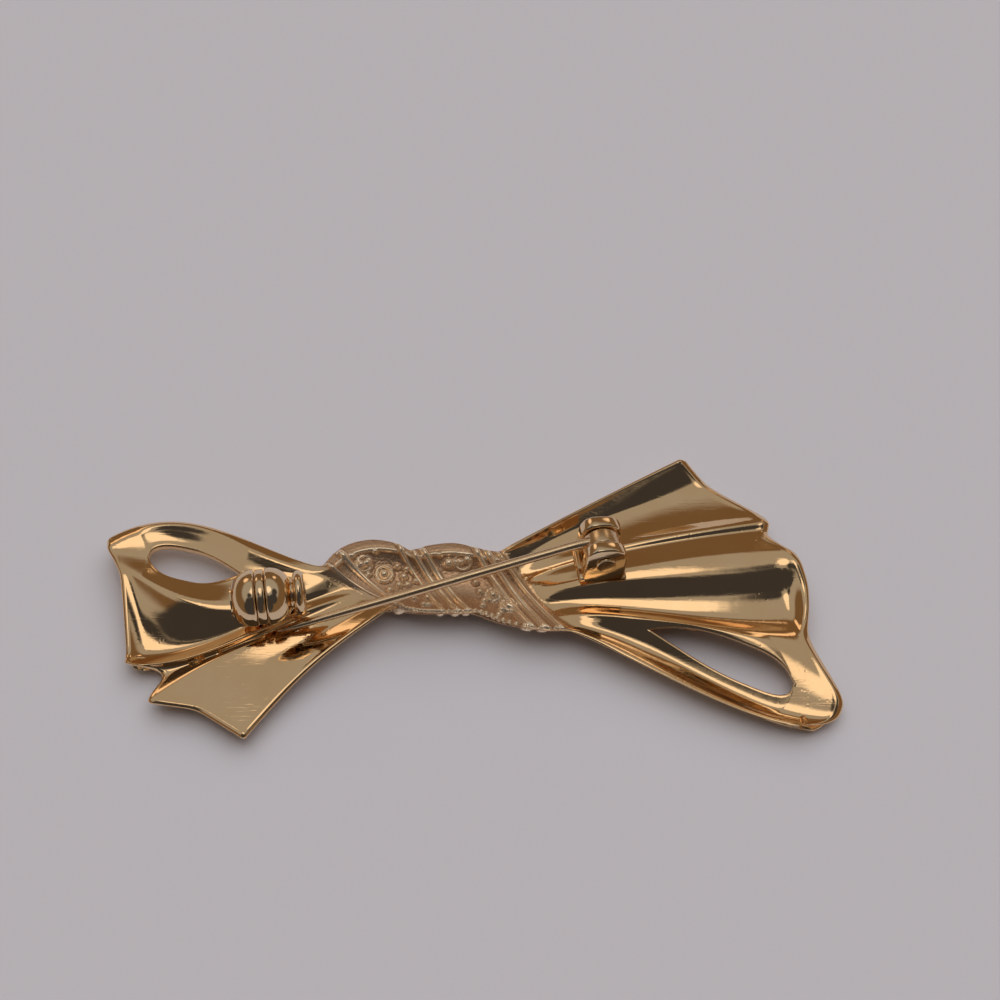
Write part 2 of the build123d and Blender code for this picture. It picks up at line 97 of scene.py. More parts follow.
RIGHT_FOLDS = (
    Fold("tail_rim", (7.0, 6.8, 2.8), (12.0, 9.9, 2.3), (17.7, 13.3, 1.8), 0.0, 3, 0.1),
    Fold("crease", (8.4, 6.3, 1.9), (14.1, 8.7, 1.2), (19.7, 11.1, 0.8), 0.0, 3, 0.1),
    Fold("tail_foot", (9.6, 4.8, 2.0), (17.1, 6.6, 1.7), (24.0, 7.9, 1.6), 0.0, 1, 0.0),
    Fold("pleat", (10.4, 3.9, 2.6), (17.8, 5.5, 2.8), (24.6, 6.8, 2.4), 0.0, 1, 0.0),
    Fold("groove", (10.5, 3.6, 2.2), (18.1, 5.3, 2.1), (24.4, 6.3, 1.9), 0.0, 1, 0.0),
    Fold("pleat_near", (10.8, 3.0, 2.7), (18.4, 4.6, 2.7), (24.2, 5.6, 2.3), 0.0, 2, 0.1),
    Fold("ridge", (11.1, 1.8, 3.1), (18.4, 3.1, 3.2), (26.3, 4.0, 2.7), 0.0, 2, 0.0),
    Fold("shoulder", (11.3, 0.9, 3.0), (18.8, 1.7, 3.05), (26.8, 2.9, 2.6), 0.4, 2, 0.0),
    Fold("trough", (11.9, 0.0, 2.2), (19.3, -0.1, 2.1), (27.3, 1.0, 1.4), 1.1, 2, 0.0),
    Fold("floor", (12.2, -1.0, 2.0), (20.1, -1.8, 1.8), (27.2, -1.1, 1.3), 1.2, 2, 0.1),
    Fold("band", (12.9, -2.1, 2.9), (20.9, -3.3, 3.0), (26.9, -3.5, 2.15), 0.0, 2, 0.0),
    Fold("opening", (14.6, -3.1, 2.4), (22.9, -6.3, 2.0), (29.6, -8.7, 1.85), 0.0, 2, 0.0),
    Fold("channel", (14.2, -4.6, 1.5), (21.6, -8.6, 1.0), (29.0, -10.3, 1.2), 0.0, 1, 0.0),
    Fold("lip", (13.7, -6.2, 2.5), (20.2, -9.4, 2.2), (26.5, -11.2, 1.9), 0.0, 0, 0.0),
)

# The gap along the fold named opening, as shares of its length, and the rows before,
# along and after it
BLUNT = 3.0  # 2 would make an opening's outer end a true ellipse
Opening = namedtuple("Opening", "start stop half_width skew rows")
LEFT_OPENING = Opening(0.31, 0.86, 1.55, 1.8, (14, 44, 14))
RIGHT_OPENING = Opening(0.32, 0.79, 1.8, 1.7, (16, 46, 20))

COLUMNS = sum(fold.strips for fold in LEFT_FOLDS) * STRIP_STEPS
ACROSS = np.arange(COLUMNS + 1) / COLUMNS

# Rims that roll down: which rim (axis 0 has the ribbons' ends, 1 the long sides), over
# which shares along the knot, how wide and how far
Roll = namedtuple("Roll", "axis end low high width drop")
ROLLS = (
    Roll(1, 1, -1.1, 1.0, 1.05, 0.62),
    Roll(1, 1, 1.0, 2.1, 0.34, 0.16),
    Roll(1, -1, -1.1, 0.0, 0.34, 0.16),
    Roll(1, -1, 1.0, 2.1, 0.34, 0.16),
    Roll(0, 1, -1.1, 2.1, 0.40, 0.20),
    Roll(0, -1, -1.1, 2.1, 0.60, 0.34),
)

# Radii of the ribbons' corners by the end of the rows and of the columns they lie at
CORNERS = {(1, 1): 1.1, (1, -1): 0.35, (-1, 1): 0.75, (-1, -1): 1.9}

# Slanting sections of the knot: the share of its length, both rims and the depth
Section = namedtuple("Section", "along far_x far_y near_x near_y depth")
KNOT_SECTIONS = (
    Section(0.00, -12.4, 2.6, -6.2, -1.0, 1.2),
    Section(0.12, -10.9, 4.3, -5.1, -1.5, 1.4),
    Section(0.28, -8.6, 5.1, -3.6, -1.8, 1.5),
    Section(0.42, -6.3, 4.8, -2.2, -1.8, 1.5),
    Section(0.50, -5.2, 4.2, -1.0, -1.8, 1.4),
    Section(0.62, -3.6, 4.6, 0.7, -1.8, 1.5),
    Section(0.78, -1.5, 4.8, 3.2, -2.8, 1.5),
    Section(0.90, 0.6, 4.3, 5.8, -3.3, 1.4),
    Section(1.00, 2.2, 3.9, 7.9, -3.3, 1.2),
)
KNOT_ROWS = 150
KNOT_LENGTH = 14.4  # along its middle, to size the ornament in millimetres
KNOT_WIDTH = 8.3  # along a slanting section

# Relief on the knot. Bars are places along it; dots and rings are placed by their
# share along and across, with radius and rise in millimetres.
RELIEF_GAIN = 1.7  # the ornament stands this much higher than listed
DOT_GAIN = 1.3  # its dots are this much wider than listed
FULL_RELIEF = 0.4  # counts as the top of the ornament in the finish and in the painted shade of its hollows
FRONT_RELIEF = 0.6  # share of its rise by which the front bulges
RELIEF_FADE_ACROSS = 14  # how sharply the bars begin at the knot's rims
RELIEF_FADE_ALONG = 40  # how sharply the ornament begins at the knot's ends
KNOT_BLEND = 0.03  # share of its length on both sides of its ends where its finish fades
BARS = (0.012, 0.10, 0.42, 0.505, 0.565, 0.86, 0.915, 0.985)
BAR_HALF_WIDTH = 0.3
BAR_RISE = 0.24
Dot = namedtuple("Dot", "along across radius rise")
DOTS = (
    Dot(0.145, 0.25, 0.32, 0.30),
    Dot(0.185, 0.25, 0.30, 0.26),
    Dot(0.23, 0.40, 0.34, 0.30),
    Dot(0.27, 0.15, 0.22, 0.20),
    Dot(0.14, 0.37, 0.20, 0.18),
    Dot(0.34, 0.31, 0.24, 0.22),
    Dot(0.385, 0.33, 0.22, 0.20),
    Dot(0.34, 0.43, 0.28, 0.24),
    Dot(0.27, 0.54, 0.26, 0.24),
    Dot(0.33, 0.53, 0.24, 0.20),
    Dot(0.40, 0.47, 0.24, 0.20),
    Dot(0.18, 0.60, 0.24, 0.22),
    Dot(0.14, 0.14, 0.22, 0.18),
    Dot(0.64, 0.14, 0.22, 0.20),
    Dot(0.665, 0.24, 0.40, 0.30),
    Dot(0.74, 0.22, 0.26, 0.24),
    Dot(0.785, 0.19, 0.26, 0.24),
    Dot(0.76, 0.13, 0.18, 0.16),
    Dot(0.33, 0.82, 0.24, 0.20),
    Dot(0.37, 0.82, 0.22, 0.18),
    Dot(0.43, 0.84, 0.24, 0.20),
    Dot(0.30, 0.72, 0.24, 0.20),
    Dot(0.40, 0.70, 0.22, 0.18),
    Dot(0.76, 0.43, 0.22, 0.20),
    Dot(0.75, 0.54, 0.24, 0.20),
    Dot(0.81, 0.55, 0.36, 0.30),
    Dot(0.855, 0.55, 0.26, 0.22),
    Dot(0.845, 0.66, 0.34, 0.28),
    Dot(0.86, 0.77, 0.26, 0.22),
    Dot(0.80, 0.74, 0.28, 0.24),
    Dot(0.74, 0.66, 0.26, 0.22),
    Dot(0.70, 0.76, 0.26, 0.22),
    Dot(0.76, 0.84, 0.22, 0.18),
)
Ring = namedtuple("Ring", "along across radius half_width rise")
RINGS = (
    Ring(0.165, 0.25, 0.62, 0.13, 0.16),
    Ring(0.23, 0.40, 0.66, 0.15, 0.20),
    Ring(0.76, 0.21, 0.66, 0.12, 0.14),
    Ring(0.845, 0.66, 0.60, 0.13, 0.18),
    Ring(0.81, 0.55, 0.58, 0.10, 0.12),
)
BEAD_ROW_ACROSS = 0.95
BEADS = 34
BEAD_RADIUS = 0.22
BEAD_RISE = 0.2
PANEL_LINES = (0.13,)
PANEL_LINE_HALF_WIDTH = 0.2
PANEL_LINE_RISE = 0.12

# Driving dimensions of the hinge
HINGE_BASE = np.array((10.2, 2.65, 2.65)) + TO_ORIGIN
HINGE_TURN = 7.5  # degrees about the vertical
HINGE_LEAN = 14.0  # degrees, its top away from the eye
HINGE_PITCH = 8.0  # degrees, its top to the right
CHEEK_LENGTH = 3.4
CHEEK_OUTER = 3.8
CHEEK_SLOT = 1.6
AXIS_HEIGHT = 2.15
BASE_LENGTH = 3.9
BASE_THICK = 0.55
FOOT_LENGTH = 2.6
FOOT_WIDTH = 3.0
FOOT_DEPTH = 0.5
FOOT_OVERLAP = 0.1
CHEEK_ROUND = 0.2
CHEEK_SQUARE = 0.72  # 1 is a round top, less is squarer
CHEEK_STEPS = 32
BASE_ROUND = 0.12
RIVET_RADIUS = 0.6
RUNNING_GAP = 0.05

# Driving dimensions of the pin
EYE_RADIUS = 1.55
EYE_WIDTH = 1.4
EYE_ROUND = 0.14
EYE_STEPS = 64
NECK_RISE = 0.9
NECK_LENGTH = 2.4
NECK_RADIUS = 0.5
NECK_SHARES = (0.0, 0.5, 0.85)
BEND_REACH = 0.3
STEM_RADIUS = 0.38
STEM_LENGTH = 15.0
TAPER_LENGTH = 6.5
TAPER_RADIUS = 0.32
POINT_LENGTH = 3.2
POINT_RADIUS = 0.06
POINT_CURVE = 1.6
POINT_STEPS = 8
STEM_DIP = 15.2  # degrees down from the hinge's own level
STEM_SIDE = 6.3  # degrees towards the near side
WIRE_SIDES = 24

# Driving dimensions of the safety catch
CATCH_CENTRE = np.array((-16.7, -1.33, 4.75)) + TO_ORIGIN
BARREL_RADIUS = 2.35
BARREL_LENGTH = 4.9
BARREL_WAIST = 0.8
BARREL_SHOULDER = 1.8
BARREL_LIP = 0.2
LIP_STEPS = 8
SHOULDER_STEPS = 12
BARREL_ROUND = 0.05
BORE_RADIUS = 1.2
MOUTH_LOW = -50.0  # degrees up from the near side, as for MOUTH_HIGH and TAB_ANGLE
MOUTH_HIGH = -5.0
CATCH_FOOT = (3.0, 1.5, 3.2)  # length, width and depth below the barrel's middle
CATCH_FOOT_TOP = 1.5
WAIST_FLOOR = 2.34
SLEEVE_BORE = 0.7
SLEEVE_RADIUS = 1.1
SLEEVE_REACH = 3.45
SLEEVE_INSET = 0.1
COLLAR_RADIUS = 1.85
COLLAR_THICK = 0.9
COLLAR_STEPS = 8
SLEEVE_ROUND = 0.06
RIM_RADIUS = 2.28
RIM_THICK = 0.7
RIM_CROWN = 0.06
TAB_ANGLE = 205.0
TAB_ROOT = 1.6
TAB_REACH = 2.85
TAB_WIDTH = 1.0
TURN_STEPS = 72
SHARP_ANGLE = 35.0  # degrees; sharper edges of the fittings are rounded

# Finish of the metals: how fine each noise is, per metre, and how deep its marks are
TINT_SCALE = 260.0
ROUGH_SCALE = 900.0
SCRATCH_SCALE = 500.0
SCRATCH_STRETCH = (1.0, 14.0, 3.0)
SCRATCH_TURN = 24.0
SCRATCH_DEPTH = 0.1
DENT_SCALE = 700.0
DENT_DEPTH = 0.5
PIT_SCALE = 2600.0
PIT_REACH = 0.35
PIT_DEPTH = 0.35
PIT_AREA_SCALE = 350.0
GRAIN_SCALE = 4500.0
GRAIN_DEPTH = 3.0
MARK_HEIGHT = 0.016  # millimetres for a mark of depth 1
SATIN_METALLIC = 0.82

# The camera looks down on the object from the near side
CAMERA_TARGET = (2.6, 8.57, 1.5)
CAMERA_DISTANCE = 167.0
CAMERA_ELEVATION = 62.0
CAMERA_FIELD = 28.0

LAMP_ENERGY = 1.4
LAMP_SPREAD = 80.0  # degrees across, for soft shadows
LAMP_COLOUR = (0.98, 0.97, 1.0)
LAMP_TILT = (-24.0, 10.0)

FLOOR_HALF = 4.0  # metres, so that low views see no edge
FLOOR_COLOUR = (0.70, 0.69, 0.735)
FLOOR_ROUGHNESS = 0.85

# What surrounds the object, each laid over those before it: a round patch of sky with
# its compass way (0 is away from the eye, 90 to the right), height, radius, soft edge
# and colour
Patch = namedtuple("Patch", "compass height radius soft colour")
ROOM = (0.37, 0.365, 0.35)
WARM_WALL = (0.17, 0.11, 0.06)
WARM_LAMP = (1.10, 0.84, 0.60)
WINDOW = (1.16, 1.05, 0.92)
ONLOOKER = (0.045, 0.045, 0.05)
PATCHES = (
    Patch(0, -90, 130, 6, WARM_WALL),
    Patch(-30, 27, 8, 3, WARM_LAMP),
    Patch(20, 24, 5, 3, WARM_LAMP),
    Patch(0, 86, 13, 2, WINDOW),
    Patch(180, 58, 14, 2, ONLOOKER),
    Patch(140, 50, 20, 3, ONLOOKER),
    Patch(95, 60, 13, 3, ONLOOKER),
    Patch(205, 50, 16, 3, ONLOOKER),
    Patch(230, 71, 8, 3, ONLOOKER),
    Patch(190, 30, 30, 3, ONLOOKER),
)


def unit(v):
    return v / np.maximum(np.linalg.norm(v, axis=-1, keepdims=True), 1e-12)


def smooth_step(x):
    x = np.clip(x, 0.0, 1.0)
    return x * x * (3 - 2 * x)


def passed(distance):
    """From 0 well before a place along the bow to 1 well past it."""
    return smooth_step(distance * CHANGE_RATE + 0.5)


def knot_section(along):
    """The knot's section at a share of its length, on a smooth curve through the table."""
    rows = KNOT_SECTIONS
    last = len(rows) - 1
    i = max(k for k in range(last) if rows[k].along <= along)
    before, here, after, beyond = (rows[min(max(k, 0), last)] for k in (i - 1, i, i + 1, i + 2))
    span = after.along - here.along
    t = (along - here.along) / span

    def column(name):
        p0, p1, p2, p3 = (getattr(row, name) for row in (before, here, after, beyond))
        m1 = (p2 - p0) / (after.along - before.along) * span
        m2 = (p3 - p1) / (beyond.along - here.along) * span
        rise = p1 * (2 * t**3 - 3 * t**2 + 1) + p2 * (3 * t**2 - 2 * t**3)
        return rise + m1 * (t**3 - 2 * t**2 + t) + m2 * (t**3 - t**2)

    return Section(along, *(column(name) for name in Section._fields[1:]))


def knot_line(along, across):
    """Points of one slanting section of the knot, at an array of shares across it."""
    section = knot_section(along)
    far = np.array((section.far_x, section.far_y, FAR_RIM_Z))
    near = np.array((section.near_x, section.near_y, NEAR_RIM_Z))
    points = far + (near - far) * across[:, None]
    points[:, 2] -= section.depth * 4 * across * (1 - across)
    return points + TO_ORIGIN


def through_stations(start, fold, u):
    """Point at share u of the cubic through the knot edge and a fold's three places."""
    weights = (
        (1 - 3 * u) * (2 - 3 * u) * (1 - u) / 2,
        9 * u * (2 - 3 * u) * (1 - u) / 2,
        9 * u * (3 * u - 1) * (1 - u) / 2,
        u * (3 * u - 1) * (3 * u - 2) / 2,
    )
    stations = (np.array(place) + TO_ORIGIN for place in (fold.third, fold.two_thirds, fold.end))
    return sum(place * weight for place, weight in zip((start, *stations), weights))


def half_opening(opening, u):
    """Half the width of a ribbon's opening at share u, round ended and fuller outwards."""
    t = (u - opening.start) / (opening.stop - opening.start)
    if t <= 0 or t >= 1:
        return 0.0
    s = t**opening.skew
    return opening.half_width * math.sqrt(1 - abs(2 * s - 1) ** BLUNT)


def ribbon_shares(opening):
    """Shares of a ribbon's length for its rows, crowded at both ends of its opening."""
    before, inside, after = opening.rows
    shares = [opening.start * k / before for k in range(1, before + 1)]
    for k in range(1, inside + 1):
        swing = (1 - math.cos(math.pi * k / inside)) / 2
        shares.append(opening.start + (opening.stop - opening.start) * swing)
    shares += [opening.stop + (1 - opening.stop) * k / after for k in range(1, after + 1)]
    return shares


def fold_columns(folds):
    """The fine column that each fold lies on."""
    places = [0]
    for fold in folds[:-1]:
        places.append(places[-1] + fold.strips * STRIP_STEPS)
    return places


def ribbon_row(folds, opening, knot_edge, u):
    """One row of points across a ribbon with its opening closed, and the way and width
    by which the opening then parts it."""
    places = fold_columns(folds)
    turn = smooth_step((u - 1 + END_TURN) / END_TURN)
    keys = [
        through_stations(knot_edge[place], fold, u) + UP * fold.turn_up * turn
        for place, fold in zip(places, folds)
    ]
    row = np.zeros((COLUMNS + 1, 3))
    parting = np.zeros((COLUMNS + 1, 3))
    for k, fold in enumerate(folds[:-1]):
        t = (np.arange(fold.strips * STRIP_STEPS + 1) / (fold.strips * STRIP_STEPS))[:, None]
        span = keys[k] + (keys[k + 1] - keys[k]) * t
        span -= UP * fold.sag * 4 * t * (1 - t) * min(1.0, 2 * u)
        row[places[k] : places[k + 1] + 1] = span
        if fold.name == "opening":
            way = unit(keys[k + 1] - keys[k - 1]) * half_opening(opening, u)
            before = np.arange(places[k] - places[k - 1] + 1) / (places[k] - places[k - 1])
            after = np.arange(places[k + 1] - places[k] + 1) / (places[k + 1] - places[k])
            parting[places[k - 1] : places[k] + 1] = -way * before[:, None]
            parting[places[k] : places[k + 1] + 1] = way * (1 - after)[:, None]
            parting[places[k]] = way
    return row, parting


def soften(rows, passes, axis):
    """Rounds the folds across, or the joins along, and leaves the outline alone."""
    rows = rows.copy()
    for _ in range(passes):
        if axis == 1:
            rows[:, 1:-1] += 0.5 * ((rows[:, :-2] + rows[:, 2:]) / 2 - rows[:, 1:-1])
        else:
            rows[1:-1] += 0.5 * ((rows[:-2] + rows[2:]) / 2 - rows[1:-1])
    return rows


def bow_grid():
    """Rows of the bow's back from its left ends to its right ends. Each row has the
    points with openings closed, their parting, the slit's column or None, and the share
    along the knot, which is below 0 on the left ribbons and above 1 on the right."""
    rows, partings, slits, alongs = ([], [], [], [])

    def ribbon(folds, opening, knot_end, outward):
        knot_edge = knot_line(knot_end, ACROSS)
        slit = fold_columns(folds)[[fold.name for fold in folds].index("opening")]
        shares = ribbon_shares(opening)
        for u in shares if outward else reversed(shares):
            row, parting = ribbon_row(folds, opening, knot_edge, u)
            rows.append(row)
            partings.append(parting)
            slits.append(slit)
            alongs.append(1 + u if outward else -u)

    ribbon(LEFT_FOLDS, LEFT_OPENING, 0.0, False)
    for i in range(KNOT_ROWS + 1):
        along = i / KNOT_ROWS
        rows.append(knot_line(along, ACROSS))
        partings.append(np.zeros((COLUMNS + 1, 3)))
        slits.append(None)
        alongs.append(along)
    ribbon(RIGHT_FOLDS, RIGHT_OPENING, 1.0, True)
    return np.array(rows), np.array(partings), slits, np.array(alongs)


def bump(distance, half_width):
    """A round-topped profile: 1 on its middle line and 0 at half_width from it."""
    return np.sqrt(np.clip(1 - (distance / half_width) ** 2, 0.0, 1.0))


def knot_relief(rows, alongs):
    """How far the ornament stands up from the knot, for every row and column."""
    knot = np.flatnonzero((alongs >= 0) & (alongs <= 1))
    ground = rows[knot]
    places = alongs[knot]
    x = np.repeat(places[:, None] * KNOT_LENGTH, len(ACROSS), axis=1)
    fade = smooth_step(ACROSS * RELIEF_FADE_ACROSS) * smooth_step((1 - ACROSS) * RELIEF_FADE_ACROSS)
    relief = np.zeros_like(x)

    def away_from(along, across):
        return np.linalg.norm(ground - knot_line(along, np.array((across,)))[0], axis=-1)

    for bar_place in BARS:
        bar = BAR_RISE * bump(x - bar_place * KNOT_LENGTH, BAR_HALF_WIDTH) * fade[None, :]
        relief = np.maximum(relief, bar)
    for dot in DOTS:
        dome = dot.rise * bump(away_from(dot.along, dot.across), DOT_GAIN * dot.radius)
        relief = np.maximum(relief, dome)
    for ring in RINGS:
        away = away_from(ring.along, ring.across)
        relief = np.maximum(relief, ring.rise * bump(away - ring.radius, ring.half_width))
    for k in range(BEADS):
        bead = bump(away_from((k + 0.5) / BEADS, BEAD_ROW_ACROSS), BEAD_RADIUS)
        relief = np.maximum(relief, BEAD_RISE * bead)
    for line_across in PANEL_LINES:
        line = bump((ACROSS - line_across) * KNOT_WIDTH, PANEL_LINE_HALF_WIDTH)
        relief = np.maximum(relief, PANEL_LINE_RISE * line[None, :])
    inside = smooth_step(places * RELIEF_FADE_ALONG) * smooth_step((1 - places) * RELIEF_FADE_ALONG)
    whole = np.zeros(rows.shape[:2])
    whole[knot] = RELIEF_GAIN * relief * inside[:, None]
    return whole


def pull_in(points, axis):
    """Draws the outermost points in by RIM_ROUND, so that a rounded rim reaches them."""
    points = np.moveaxis(points, axis, 0).copy()
    for end in (1, -1):
        line = points[::end]
        steps = np.linalg.norm(np.diff(line[:RIM_POINTS], axis=0), axis=-1)
        reach = np.concatenate([np.zeros((1, steps.shape[1])), np.cumsum(steps, axis=0)])
        inward = unit(line[1] - line[0])
        share = np.clip(1 - reach / RIM_REACH, 0.0, 1.0)[:, :, None]
        line[:RIM_POINTS] += inward[None] * RIM_ROUND * share
    return np.moveaxis(points, 0, axis)


def from_edge(rows, axis, end):
    """Distance of the outermost points from one edge, along the lines that leave it."""
    points = np.moveaxis(rows, axis, 0)[::end][:EDGE_POINTS]
    steps = np.linalg.norm(np.diff(points, axis=0), axis=-1)
    return np.concatenate([np.zeros((1, steps.shape[1])), np.cumsum(steps, axis=0)])


def round_corners(rows):
    """Bends the square corners of the grid into quarter circles."""
    rows = rows.copy()
    for (row_end, column_end), radius in CORNERS.items():
        grid = rows[::row_end, ::column_end]
        from_end = from_edge(rows, 0, row_end)[:, ::column_end][:, :EDGE_POINTS]
        from_side = from_edge(rows, 1, column_end)[:, ::row_end][:, :EDGE_POINTS].T
        u = np.clip(1 - from_end / radius, 0.0, 1.0)[:, :, None]
        v = np.clip(1 - from_side / radius, 0.0, 1.0)[:, :, None]
        out_end = unit(grid[0, 0] - grid[WAY_POINTS, 0])
        out_side = unit(grid[0, 0] - grid[0, WAY_POINTS])
        end_shift = out_end * u * (np.sqrt(1 - v**2 / 2) - 1)
        side_shift = out_side * v * (np.sqrt(1 - u**2 / 2) - 1)
        grid[:EDGE_POINTS, :EDGE_POINTS] += (end_shift + side_shift) * radius
    return rows


def rolled(rows, alongs):
    """Rolls the outer rims down, with a low crest where each roll begins."""
    rows = rows.copy()
    lift = np.zeros(rows.shape[:2])
    for roll in ROLLS:
        away = from_edge(rows, roll.axis, roll.end)
        drop = roll.drop * np.clip(1 - away / roll.width, 0.0, 1.0) ** ROLL_CURVE
        from_crest = (away - roll.width) / (CREST_WIDTH * roll.width)
        crest = ROLL_CREST * np.exp(-(from_crest**2))
        if roll.axis == 1:
            low, high = (passed(alongs - end) for end in (roll.low, roll.high))
            drop, crest = (drop * (low - high), crest * (low - high))
        part = np.moveaxis(lift, roll.axis, 0)[:: roll.end][:EDGE_POINTS]
        part += crest - drop
    rows[:, :, 2] += lift
    return rows


def tuck_in(front, rows, alongs):
    """Draws the front in under the near rim and the ends, so that they look thin."""
    depth = TUCK + (KNOT_TUCK - TUCK) * passed(np.minimum(alongs, 1 - alongs))
    shift = np.zeros_like(front)
    for axis, end in ((1, -1), (0, 1), (0, -1)):
        share = smooth_step(1 - from_edge(rows, axis, end) / TUCK_REACH)
        line = np.moveaxis(rows, axis, 0)[::end]
        inward = unit(np.cross(np.gradient(line[0], axis=0), UP))
        inward *= np.sign((inward * (line[WAY_POINTS] - line[0])).sum(axis=-1))[:, None]
        part = np.moveaxis(shift, axis, 0)[::end][:EDGE_POINTS]
        part += share[:, :, None] * inward[None]
    shift /= np.maximum(np.linalg.norm(shift, axis=-1), 1.0)[:, :, None]
    front += depth[:, None, None] * shift


def bow_skins():
    """Back and front points of the wall, for the far and the near side of each slit."""
    rows, partings, slits, alongs = bow_grid()
    rows = soften(rows, FOLD_SOFTENING, axis=1)
    rows = soften(rows, JOIN_SOFTENING, axis=0)
    rows = round_corners(rolled(rows, alongs))
    rows = pull_in(pull_in(rows, 1), 0)
    relief = knot_relief(rows, alongs)
    far_side = rows.copy()
    near_side = rows.copy()
    for i, slit in enumerate(slits):
        if slit is None:
            continue
        far_side[i, :slit] += partings[i, :slit]
        far_side[i, slit] -= partings[i, slit]
        near_side[i, slit:] += partings[i, slit:]
        far_side[i, slit + 1 :] = near_side[i, slit + 1 :]
        near_side[i, :slit] = far_side[i, :slit]
    normal = unit(np.cross(np.gradient(rows, axis=0), np.gradient(rows, axis=1)))
    normal *= np.sign(normal[:, :, 2:])
    lean = unit(normal + UP * UPRIGHT)
    skins = []
    for side in (far_side, near_side):
        back = side + lean * relief[:, :, None]
        front = side - lean * (WALL + FRONT_RELIEF * relief[:, :, None])
        tuck_in(front, rows, alongs)
        skins.append((back, front))
    return skins, slits, alongs, relief


def pressed_bow():
    """The bow as one closed mesh with rounded rims, and masks for its finish and for the painted shade
    of the knot's hollows.
    """
    skins, slits, alongs, relief = bow_skins()
    (back_far, front_far), (back_near, front_near) = skins
    last_row, last_column = (len(slits) - 1, COLUMNS)
    vertices = []
    knot_mask = []
    relief_mask = []

    def add_vertex(point, i, j):
        x, y, z = point
        # The front would otherwise reach a little below the floor
        vertices.append((x * MM, y * MM, max(z, 0.0) * MM))
        inside = min(alongs[i], 1 - alongs[i])
        knot_mask.append(float(smooth_step((inside + KNOT_BLEND) / (2 * KNOT_BLEND))))
        relief_mask.append(float(relief[i, j] / FULL_RELIEF))
        return len(vertices) - 1

    def is_open(i, j):
        return slits[i] == j and np.linalg.norm(back_far[i, j] - back_near[i, j]) > 1e-6

    index = {}
    skin_pairs = (("back", back_far, back_near), ("front", front_far, front_near))
    for i in range(last_row + 1):
        for j in range(last_column + 1):
            for name, far, near in skin_pairs:
                index[name, i, j, 0] = add_vertex(far[i, j], i, j)
                if is_open(i, j):
                    index[name, i, j, 1] = add_vertex(near[i, j], i, j)
                else:
                    index[name, i, j, 1] = index[name, i, j, 0]
    faces = []
    for name, order in (("back", 1), ("front", -1)):
        for i in range(last_row):
            for j in range(last_column):
                corners = (
                    index[name, i, j, 1],
                    index[name, i, j + 1, 0],
                    index[name, i + 1, j + 1, 0],
                    index[name, i + 1, j, 1],
                )
                faces.append(corners[::order])

    profiles = {}

    def rim_profile(i, j, side, way, swell):
        """Vertices from back to front round a rim, made once for each place."""
        key = (i, j, side if is_open(i, j) else 0)
        if key not in profiles:
            back = np.array(vertices[index["back", i, j, side]]) / MM
            front = np.array(vertices[index["front", i, j, side]]) / MM
            middle, half = ((back + front) / 2, (back - front) / 2)
            line = [index["back", i, j, side]]
            for k in range(1, RIM_STEPS):
                angle = math.pi * k / RIM_STEPS
                rise = math.copysign(abs(math.cos(angle)) ** RIM_SQUARE, math.cos(angle))
                bulge = math.sin(angle) ** RIM_SQUARE
                point = middle + half * rise + way * swell * bulge
                line.append(add_vertex(point, i, j))
            line.append(index["front", i, j, side])
            profiles[key] = line
        return profiles[key]

    def rim(places, flip):
        """Faces between the rim profiles of neighbouring places."""
        lines = [rim_profile(*place) for place in places]
        for one, other in zip(lines, lines[1:]):
            for k in range(RIM_STEPS):
                corners = (one[k], other[k], other[k + 1], one[k + 1])
                if len(set(corners)) == 4:
                    faces.append(corners[::-1] if flip else corners)

    def outward(i, j, di, dj, skin=back_far):
        """The way to a place from its neighbour further in."""
        return unit(skin[i, j] - skin[i + di, j + dj])

    def corner_way(i, j):
        ways = np.zeros(3)
        if j in (0, last_column):
            ways += outward(i, j, 0, 1 if j == 0 else -1)
        if i in (0, last_row):
            ways += outward(i, j, 1 if i == 0 else -1, 0)
        return ways

    def outer_rim(i, j):
        """What rim_profile needs for a place on the outline."""
        return i, j, 0, corner_way(i, j), RIM_ROUND

    rim([outer_rim(i, 0) for i in range(last_row + 1)], False)
    rim([outer_rim(i, last_column) for i in range(last_row + 1)], True)
    rim([outer_rim(0, j) for j in range(last_column + 1)], True)
    rim([outer_rim(last_row, j) for j in range(last_column + 1)], False)
    for ribbon_slit in sorted({slit for slit in slits if slit is not None}):
        opened = [i for i in range(last_row + 1) if is_open(i, ribbon_slit)]
        span = range(opened[0] - 1, opened[-1] + 2)
        for side, skin, step in ((0, back_far, -1), (1, back_near, 1)):
            places = []
            for i in span:
                swell = RIM_ROUND if is_open(i, ribbon_slit) else 0.0
                way = outward(i, ribbon_slit, 0, step, skin)
                places.append((i, ribbon_slit, side, way, swell))
            rim(places, side == 0)
    return vertices, faces, {"knot": knot_mask, "relief": relief_mask}


def mesh_object(name, vertices, faces, masks=None, smooth=True):
    mesh = bpy.data.meshes.new(name)
    mesh.from_pydata(vertices, [], faces)
    for mask, values in (masks or {}).items():
        attribute = mesh.attributes.new(mask, "FLOAT", "POINT")
        attribute.data.foreach_set("value", np.array(values, np.float32))
    mesh.validate()
    mesh.update()
    if smooth:
        mesh.polygons.foreach_set("use_smooth", [True] * len(mesh.polygons))
    obj = bpy.data.objects.new(name, mesh)
    bpy.context.scene.collection.objects.link(obj)
    return obj


def turned(direction, axis, degrees):
    rotation = Matrix.Rotation(math.radians(degrees), 3, Vector(axis))
    return np.array(rotation @ Vector(direction))


